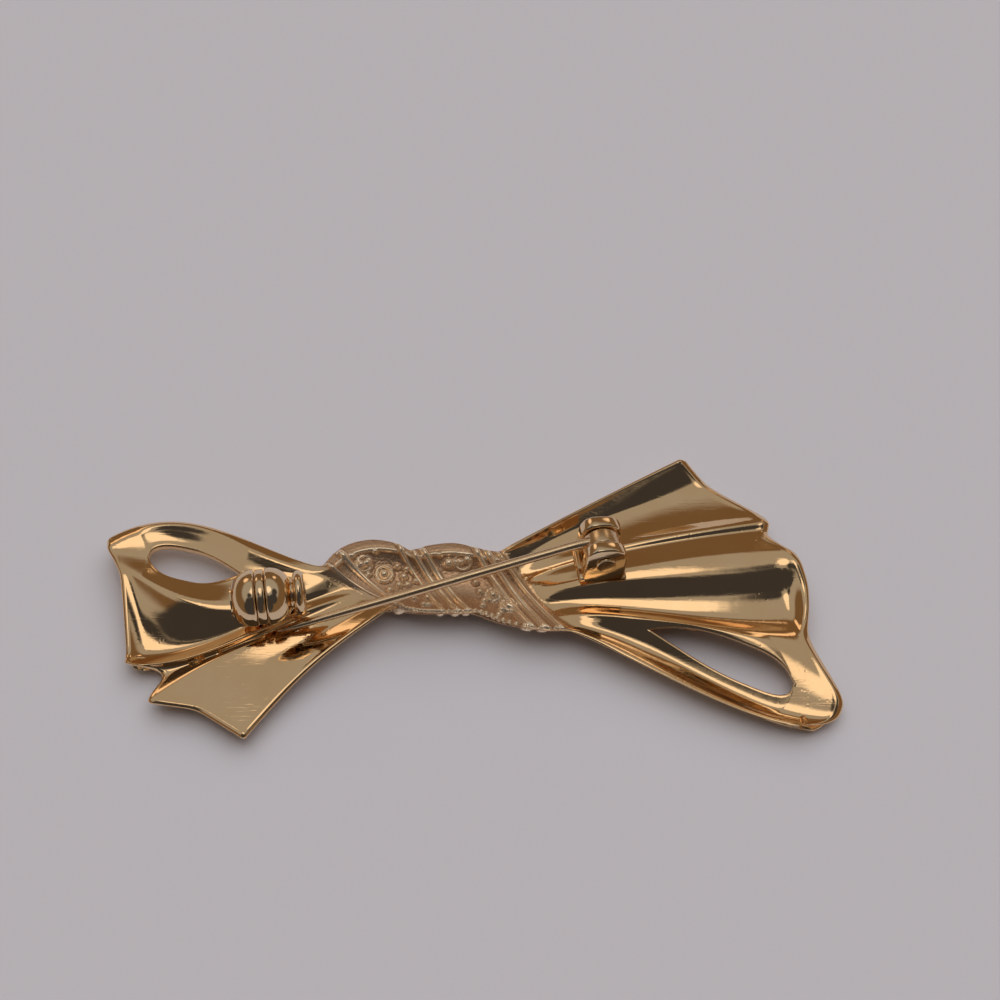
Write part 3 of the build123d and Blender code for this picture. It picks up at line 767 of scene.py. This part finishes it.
# The hinge's and the catch's own directions
hinge_turned = turned((1, 0, 0), (0, 0, 1), HINGE_TURN)
hinge_leaned = turned((0, 0, 1), hinge_turned, -HINGE_LEAN)
hinge_y = np.cross(hinge_leaned, hinge_turned)
hinge_x = turned(hinge_turned, hinge_y, HINGE_PITCH)
hinge_up = turned(hinge_leaned, hinge_y, HINGE_PITCH)
catch_x = hinge_turned
catch_y = np.cross(UP, catch_x)


def placement(x_way, y_way, z_way, origin):
    """Matrix from a fitting's own millimetres to the scene's metres."""
    columns = [tuple(v * MM) for v in (x_way, y_way, z_way, origin)]
    return Matrix([[columns[c][r] for c in range(4)] for r in range(3)] + [[0, 0, 0, 1]])


def finish_bmesh(bm, name, matrix, bevel=0.0, segments=3):
    """Rounds a fitting's sharp edges and puts it where it belongs."""
    bmesh.ops.remove_doubles(bm, verts=bm.verts, dist=1e-5)
    bmesh.ops.recalc_face_normals(bm, faces=bm.faces)
    if bevel:
        least = math.radians(SHARP_ANGLE)
        sharp = [e for e in bm.edges if e.is_manifold and e.calc_face_angle() > least]
        bmesh.ops.bevel(
            bm,
            geom=sharp,
            offset=bevel,
            segments=segments,
            profile=0.5,
            affect="EDGES",
            clamp_overlap=True,
        )
    bmesh.ops.transform(bm, matrix=matrix, verts=bm.verts)
    mesh = bpy.data.meshes.new(name)
    bm.to_mesh(mesh)
    bm.free()
    mesh.polygons.foreach_set("use_smooth", [True] * len(mesh.polygons))
    obj = bpy.data.objects.new(name, mesh)
    bpy.context.scene.collection.objects.link(obj)
    return obj


def prism(bm, outline, low, high):
    """A closed prism of an outline of (x, z) points, from y = low to y = high."""
    rings = [[bm.verts.new((x, y, z)) for x, z in outline] for y in (low, high)]
    bm.faces.new(rings[0][::-1])
    bm.faces.new(rings[1])
    count = len(outline)
    for k in range(count):
        m = (k + 1) % count
        bm.faces.new((rings[0][k], rings[0][m], rings[1][m], rings[1][k]))


def box(bm, x, y, z):
    """A block between the pairs of limits x, y and z."""
    corners = ((x[0], z[0]), (x[1], z[0]), (x[1], z[1]), (x[0], z[1]))
    prism(bm, corners, *y)


def joined(pieces, name):
    bpy.ops.object.select_all(action="DESELECT")
    for piece in pieces:
        piece.select_set(True)
    bpy.context.view_layer.objects.active = pieces[0]
    bpy.ops.object.join()
    pieces[0].name = name
    pieces[0].data.name = name
    return pieces[0]


def cheek_outline():
    """Side view of a cheek: square at its foot, round about the rivet."""
    half = CHEEK_LENGTH / 2
    top = []
    for k in range(CHEEK_STEPS + 1):
        angle = math.radians(180 * k / CHEEK_STEPS)
        wide, tall = (math.cos(angle), math.sin(angle))
        x = math.copysign(abs(wide) ** CHEEK_SQUARE, wide)
        top.append((half * x, AXIS_HEIGHT + half * tall**CHEEK_SQUARE))
    return [(-half, 0.0), (half, 0.0)] + top


def hinge_bracket():
    """Two cheeks on a base plate, with a foot sunk into the folds."""
    pieces = []
    matrix = placement(hinge_x, hinge_y, hinge_up, HINGE_BASE)
    for side in (-1, 1):
        bm = bmesh.new()
        inner, outer = (side * CHEEK_SLOT / 2, side * CHEEK_OUTER / 2)
        prism(bm, cheek_outline(), min(inner, outer), max(inner, outer))
        pieces.append(finish_bmesh(bm, "cheek", matrix, CHEEK_ROUND, 4))
    bm = bmesh.new()
    length, width = (BASE_LENGTH / 2, CHEEK_OUTER / 2)
    box(bm, (-length, length), (-width, width), (0.0, BASE_THICK))
    length, width = (FOOT_LENGTH / 2, FOOT_WIDTH / 2)
    box(bm, (-length, length), (-width, width), (-FOOT_DEPTH, FOOT_OVERLAP))
    pieces.append(finish_bmesh(bm, "base", matrix, BASE_ROUND))
    return joined(pieces, "hinge_bracket")


def barrel_profile(side):
    """Closed section of one barrel half as (distance along, radius) points."""
    low, high = (BARREL_WAIST / 2, BARREL_LENGTH / 2)
    outline = [(low, BORE_RADIUS), (low, BARREL_RADIUS - BARREL_LIP)]
    for k in range(1, LIP_STEPS + 1):
        angle = math.radians(90 * k / LIP_STEPS)
        x = low + BARREL_LIP * (1 - math.cos(angle))
        outline.append((x, BARREL_RADIUS - BARREL_LIP * (1 - math.sin(angle))))
    for k in range(SHOULDER_STEPS + 1):
        angle = math.radians(90 - 90 * k / SHOULDER_STEPS)
        x = high - BARREL_SHOULDER * (1 - math.cos(angle))
        outline.append((x, BARREL_RADIUS - BARREL_SHOULDER * (1 - math.sin(angle))))
    outline.append((high, BORE_RADIUS))
    return [(side * x, r) for x, r in outline]


def lathe(bm, outline, start, stop, steps):
    """Turns a closed section about the local x axis between two angles, in degrees."""
    rings = []
    whole = stop - start == 360
    for k in range(steps + (0 if whole else 1)):
        angle = math.radians(start + (stop - start) * k / steps)
        y, z = (-math.cos(angle), math.sin(angle))
        rings.append([bm.verts.new((x, r * y, r * z)) for x, r in outline])
    count = len(outline)
    for one, other in zip(rings, rings[1:] + (rings[:1] if whole else [])):
        for k in range(count):
            m = (k + 1) % count
            bm.faces.new((one[k], other[k], other[m], one[m]))
    if not whole:
        bm.faces.new(rings[0])
        bm.faces.new(rings[-1][::-1])


def catch_barrel():
    """Two rounded halves with a waist between them, on a foot."""
    bm = bmesh.new()
    for side in (-1, 1):
        lathe(bm, barrel_profile(side), MOUTH_HIGH, 360 + MOUTH_LOW, TURN_STEPS)
    length, width, depth = CATCH_FOOT
    ends = (-length / 2, -BARREL_WAIST / 2, BARREL_WAIST / 2, length / 2)
    for low, high, top in zip(ends, ends[1:], (CATCH_FOOT_TOP, WAIST_FLOOR, CATCH_FOOT_TOP)):
        box(bm, (low, high), (-width / 2, width / 2), (-depth, -top))
    matrix = placement(catch_x, catch_y, UP, CATCH_CENTRE)
    return finish_bmesh(bm, "catch_barrel", matrix, BARREL_ROUND, 2)


def catch_sleeve():
    """The turning sleeve: its tube, its rim between the barrel's halves with a thumb
    tab, and a rounded collar at its mouth."""
    low, high = (SLEEVE_INSET - BARREL_LENGTH / 2, SLEEVE_REACH)
    rim = RIM_THICK / 2
    outline = [(low, SLEEVE_BORE), (low, SLEEVE_RADIUS), (-rim, SLEEVE_RADIUS)]
    crown = RIM_RADIUS - RIM_CROWN
    outline += [(-rim, crown), (-rim / 2, RIM_RADIUS), (rim / 2, RIM_RADIUS), (rim, crown)]
    outline += [(rim, SLEEVE_RADIUS), (high - COLLAR_THICK, SLEEVE_RADIUS)]
    for k in range(COLLAR_STEPS + 1):
        angle = math.radians(180 * k / COLLAR_STEPS)
        x = high - COLLAR_THICK * (1 + math.cos(angle)) / 2
        outline.append((x, COLLAR_RADIUS - COLLAR_THICK / 2 * (1 - math.sin(angle))))
    outline.append((high, SLEEVE_BORE))
    bm = bmesh.new()
    lathe(bm, outline, MOUTH_HIGH, 360 + MOUTH_LOW, TURN_STEPS)
    turn = math.radians(TAB_ANGLE)
    corners = []
    for r in (TAB_ROOT, TAB_REACH):
        for w in (-TAB_WIDTH / 2, TAB_WIDTH / 2):
            y, z = (w * math.sin(turn) - r * math.cos(turn), r * math.sin(turn) + w * math.cos(turn))
            corners.append([bm.verts.new((x, y, z)) for x in (-rim, rim)])
    ring = [corners[k] for k in (0, 1, 3, 2)]
    for k in range(4):
        one, other = (ring[k], ring[(k + 1) % 4])
        bm.faces.new((one[0], other[0], other[1], one[1]))
    bm.faces.new([pair[0] for pair in ring[::-1]])
    bm.faces.new([pair[1] for pair in ring])
    matrix = placement(catch_x, catch_y, UP, CATCH_CENTRE)
    return finish_bmesh(bm, "turning_sleeve", matrix, SLEEVE_ROUND)


def wire(bm, stations):
    """A round wire through (point, radius) stations, closed at both ends."""
    rings = []
    for k, (point, radius) in enumerate(stations):
        before, after = (stations[max(k - 1, 0)][0], stations[min(k + 1, len(stations) - 1)][0])
        way = unit(after - before)
        side = unit(np.cross(way, UP))
        top = np.cross(side, way)
        ring = []
        for j in range(WIRE_SIDES):
            angle = 2 * math.pi * j / WIRE_SIDES
            spot = point + radius * (side * math.cos(angle) + top * math.sin(angle))
            ring.append(bm.verts.new(tuple(spot)))
        rings.append(ring)
    for one, other in zip(rings, rings[1:]):
        for j in range(WIRE_SIDES):
            m = (j + 1) % WIRE_SIDES
            bm.faces.new((one[j], one[m], other[m], other[j]))
    bm.faces.new(rings[0][::-1])
    bm.faces.new(rings[-1])


def pin_stem():
    """The pin: an eye about the rivet, a neck that bends into the shaft, and a point."""
    rivet = HINGE_BASE + hinge_up * AXIS_HEIGHT
    root = rivet + hinge_up * NECK_RISE
    neck_way = turned(-hinge_x, hinge_y, -STEM_DIP)
    neck_end = root + neck_way * NECK_LENGTH
    stem_way = turned(neck_way, hinge_up, STEM_SIDE)
    stations = [
        (root + neck_way * share * NECK_LENGTH, NECK_RADIUS + (STEM_RADIUS - NECK_RADIUS) * share)
        for share in NECK_SHARES
    ]
    stations += [(neck_end + stem_way * reach, STEM_RADIUS) for reach in (BEND_REACH, STEM_LENGTH)]
    taper_end = STEM_LENGTH + TAPER_LENGTH
    for k in range(POINT_STEPS + 1):
        share = k / POINT_STEPS
        radius = TAPER_RADIUS + (POINT_RADIUS - TAPER_RADIUS) * share**POINT_CURVE
        stations.append((neck_end + stem_way * (taper_end + POINT_LENGTH * share), radius))
    bm = bmesh.new()
    wire(bm, stations)
    pin = finish_bmesh(bm, "pin_wire", Matrix.Scale(MM, 4))
    bm = bmesh.new()
    half, bore = (EYE_WIDTH / 2, RIVET_RADIUS + RUNNING_GAP)
    outline = ((-half, bore), (-half, EYE_RADIUS), (half, EYE_RADIUS), (half, bore))
    lathe(bm, outline, 0, 360, EYE_STEPS)
    matrix = placement(hinge_y, hinge_x, np.cross(hinge_y, hinge_x), rivet)
    eye = finish_bmesh(bm, "pin_eye", matrix, EYE_ROUND, 4)
    return joined([pin, eye], "pin_with_eye")


def node_of(tree, kind, **values):
    node = tree.nodes.new(kind)
    for name, value in values.items():
        setattr(node, name, value)
    return node


def metal(name, tint, deep_tint, roughness, satin=None):
    """Polished plate: two tints in soft patches, fine scratches, pits and, on the knot,
    a satin finish with painted shade, its hollows painted darker and its raised ornament lighter."""
    material = bpy.data.materials.new(name)
    material.use_nodes = True
    tree = material.node_tree
    link = tree.links.new
    shader = tree.nodes["Principled BSDF"]
    shader.inputs["Metallic"].default_value = 1.0
    place_node = node_of(tree, "ShaderNodeTexCoord")

    def noise(scale, detail, stretch=None):
        source = place_node.outputs["Object"]
        if stretch:
            mapping = node_of(tree, "ShaderNodeMapping")
            mapping.inputs["Scale"].default_value = stretch
            mapping.inputs["Rotation"].default_value = (0.0, 0.0, math.radians(SCRATCH_TURN))
            link(source, mapping.inputs["Vector"])
            source = mapping.outputs["Vector"]
        node = node_of(tree, "ShaderNodeTexNoise")
        node.inputs["Scale"].default_value = scale
        node.inputs["Detail"].default_value = detail
        link(source, node.inputs["Vector"])
        return node.outputs["Fac"]

    def ranged(value, low, high, to_low, to_high):
        node = node_of(tree, "ShaderNodeMapRange")
        for socket, number in zip(node.inputs[1:5], (low, high, to_low, to_high)):
            socket.default_value = number
        link(value, node.inputs["Value"])
        return node.outputs["Result"]

    def mixed(factor, a, b):
        node = node_of(tree, "ShaderNodeMix", data_type="RGBA")
        link(factor, node.inputs["Factor"])
        for socket, colour in ((node.inputs["A"], a), (node.inputs["B"], b)):
            if isinstance(colour, tuple):
                socket.default_value = (*colour, 1.0)
            else:
                link(colour, socket)
        return node.outputs["Result"]

    def math_node(operation, a, b):
        node = node_of(tree, "ShaderNodeMath", operation=operation)
        for socket, value in zip(node.inputs, (a, b)):
            if isinstance(value, float):
                socket.default_value = value
            else:
                link(value, socket)
        return node.outputs["Value"]

    colour = mixed(ranged(noise(TINT_SCALE, 3.0), 0.35, 0.65, 0.0, 1.0), tint, deep_tint)
    rough = ranged(noise(ROUGH_SCALE, 4.0), 0.3, 0.7, roughness * 0.8, roughness * 1.35)
    scratches = ranged(noise(SCRATCH_SCALE, 3.0, SCRATCH_STRETCH), 0.56, 0.72, 0.0, 1.0)
    height = math_node("MULTIPLY", scratches, SCRATCH_DEPTH)
    dents = math_node("MULTIPLY", noise(DENT_SCALE, 2.0), DENT_DEPTH)
    height = math_node("ADD", height, dents)
    pits = node_of(tree, "ShaderNodeTexVoronoi")
    pits.inputs["Scale"].default_value = PIT_SCALE
    link(place_node.outputs["Object"], pits.inputs["Vector"])
    pit_height = ranged(pits.outputs["Distance"], 0.0, PIT_REACH, -PIT_DEPTH, 0.0)
    few = ranged(noise(PIT_AREA_SCALE, 2.0), 0.52, 0.66, 0.0, 1.0)
    height = math_node("ADD", height, math_node("MULTIPLY", pit_height, few))
    if satin:
        knot = node_of(tree, "ShaderNodeAttribute", attribute_name="knot").outputs["Fac"]
        relief = node_of(tree, "ShaderNodeAttribute", attribute_name="relief").outputs["Fac"]
        satin_tint, hollow_painted_shade, satin_rough = satin
        # Painted shade on the knot: its hollows take the darker tint and its raised ornament the lighter
        # satin tint
        raised = ranged(relief, 0.0, 0.5, 0.0, 1.0)
        knot_tint_with_painted_shade = mixed(raised, hollow_painted_shade, satin_tint)
        colour = mixed(knot, colour, knot_tint_with_painted_shade)
        grain = math_node("MULTIPLY", noise(GRAIN_SCALE, 2.0), GRAIN_DEPTH)
        grain = math_node("MULTIPLY", grain, ranged(relief, 0.0, 0.5, 1.0, 0.2))
        height = math_node("ADD", height, math_node("MULTIPLY", grain, knot))
        dulled = ranged(relief, 0.0, 0.5, satin_rough - roughness, 0.0)
        extra = math_node("MULTIPLY", knot, dulled)
        rough = math_node("ADD", rough, extra)
        link(ranged(knot, 0.0, 1.0, 1.0, SATIN_METALLIC), shader.inputs["Metallic"])
    bump_node = node_of(tree, "ShaderNodeBump")
    bump_node.inputs["Strength"].default_value = 1.0
    bump_node.inputs["Distance"].default_value = MARK_HEIGHT * MM
    link(height, bump_node.inputs["Height"])
    link(bump_node.outputs["Normal"], shader.inputs["Normal"])
    link(colour, shader.inputs["Base Color"])
    link(rough, shader.inputs["Roughness"])
    return material


def dress(obj, material):
    obj.data.materials.clear()
    obj.data.materials.append(material)


vertices, faces, masks = pressed_bow()
bow = mesh_object("pressed_bow", vertices, faces, masks)
bracket = hinge_bracket()
barrel = catch_barrel()
sleeve = catch_sleeve()
pin = pin_stem()
bow_metal = metal(
    "bow_metal",
    (0.91, 0.64, 0.37),
    (0.89, 0.60, 0.33),
    0.07,
    # the knot's satin tint, the darker tint painted into its hollows as shade, and its roughness
    satin=((1.0, 0.79, 0.56), (0.60, 0.38, 0.23), 0.24),
)
fitting_metal = metal("fitting_metal", (0.90, 0.68, 0.43), (0.86, 0.62, 0.38), 0.09)
pin_metal = metal("pin_metal", (0.89, 0.67, 0.43), (0.85, 0.61, 0.38), 0.22)
for piece, material in ((bow, bow_metal), (bracket, fitting_metal), (barrel, fitting_metal)):
    dress(piece, material)
    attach(piece, "bow")
    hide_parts("bow_body")
for piece, material, slot, body, node in (
    (pin, pin_metal, "pin_metal", "pin", "pin_stem"),
    (sleeve, fitting_metal, "sleeve_metal", "sleeve", "catch_sleeve"),
):
    dress(piece, material)
    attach(piece, body)
    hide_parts(node)
dress(frame["nodes"]["hinge_rivet"], fitting_metal)


def plain_material(name, colour, roughness):
    material = bpy.data.materials.new(name)
    material.use_nodes = True
    shader = material.node_tree.nodes["Principled BSDF"]
    shader.inputs["Base Color"].default_value = (*colour, 1.0)
    shader.inputs["Roughness"].default_value = roughness
    return material


def floor():
    half = FLOOR_HALF
    corners = [(-half, -half, 0.0), (half, -half, 0.0), (half, half, 0.0), (-half, half, 0.0)]
    obj = mesh_object("floor", corners, [(0, 1, 2, 3)], smooth=False)
    obj.data.materials.append(plain_material("floor", FLOOR_COLOUR, FLOOR_ROUGHNESS))


def camera():
    data = bpy.data.cameras.new("camera")
    data.angle = math.radians(CAMERA_FIELD)
    data.clip_start = 0.005
    obj = bpy.data.objects.new("camera", data)
    lean = math.radians(90 - CAMERA_ELEVATION)
    obj.rotation_euler = (lean, 0.0, 0.0)
    back = Vector((0.0, -math.sin(lean), math.cos(lean)))
    obj.location = (Vector(CAMERA_TARGET) + back * CAMERA_DISTANCE) * MM
    bpy.context.scene.collection.objects.link(obj)
    bpy.context.scene.camera = obj


def world():
    """Soft surroundings: a dim room, its warm walls, a window overhead and the darker
    shape of whoever looks on."""
    made = bpy.data.worlds.new("studio")
    bpy.context.scene.world = made
    made.use_nodes = True
    tree = made.node_tree
    link = tree.links.new
    way = tree.nodes.new("ShaderNodeTexCoord").outputs["Generated"]
    colour = None
    for patch in PATCHES:
        compass, height = (math.radians(patch.compass), math.radians(patch.height))
        middle = (
            math.sin(compass) * math.cos(height),
            math.cos(compass) * math.cos(height),
            math.sin(height),
        )
        dot = node_of(tree, "ShaderNodeVectorMath", operation="DOT_PRODUCT")
        dot.inputs[1].default_value = middle
        link(way, dot.inputs[0])
        mask = node_of(tree, "ShaderNodeMapRange", interpolation_type="SMOOTHSTEP")
        mask.inputs["From Min"].default_value = math.cos(math.radians(patch.radius + patch.soft))
        mask.inputs["From Max"].default_value = math.cos(math.radians(max(patch.radius - patch.soft, 0)))
        link(dot.outputs["Value"], mask.inputs["Value"])
        mix = node_of(tree, "ShaderNodeMix", data_type="RGBA")
        link(mask.outputs["Result"], mix.inputs["Factor"])
        if colour is None:
            mix.inputs["A"].default_value = (*ROOM, 1.0)
        else:
            link(colour, mix.inputs["A"])
        mix.inputs["B"].default_value = (*patch.colour, 1.0)
        colour = mix.outputs["Result"]
    link(colour, tree.nodes["Background"].inputs["Color"])


def soft_lamp():
    """A broad overhead lamp that lights the floor and casts its soft shadow."""
    data = bpy.data.lights.new("soft_lamp", "SUN")
    data.energy = LAMP_ENERGY
    data.angle = math.radians(LAMP_SPREAD)
    data.color = LAMP_COLOUR
    obj = bpy.data.objects.new("soft_lamp", data)
    obj.rotation_euler = (math.radians(LAMP_TILT[0]), math.radians(LAMP_TILT[1]), 0.0)
    obj.visible_glossy = False
    bpy.context.scene.collection.objects.link(obj)


floor()
camera()
world()
soft_lamp()
bpy.context.scene.view_settings.view_transform = "Standard"
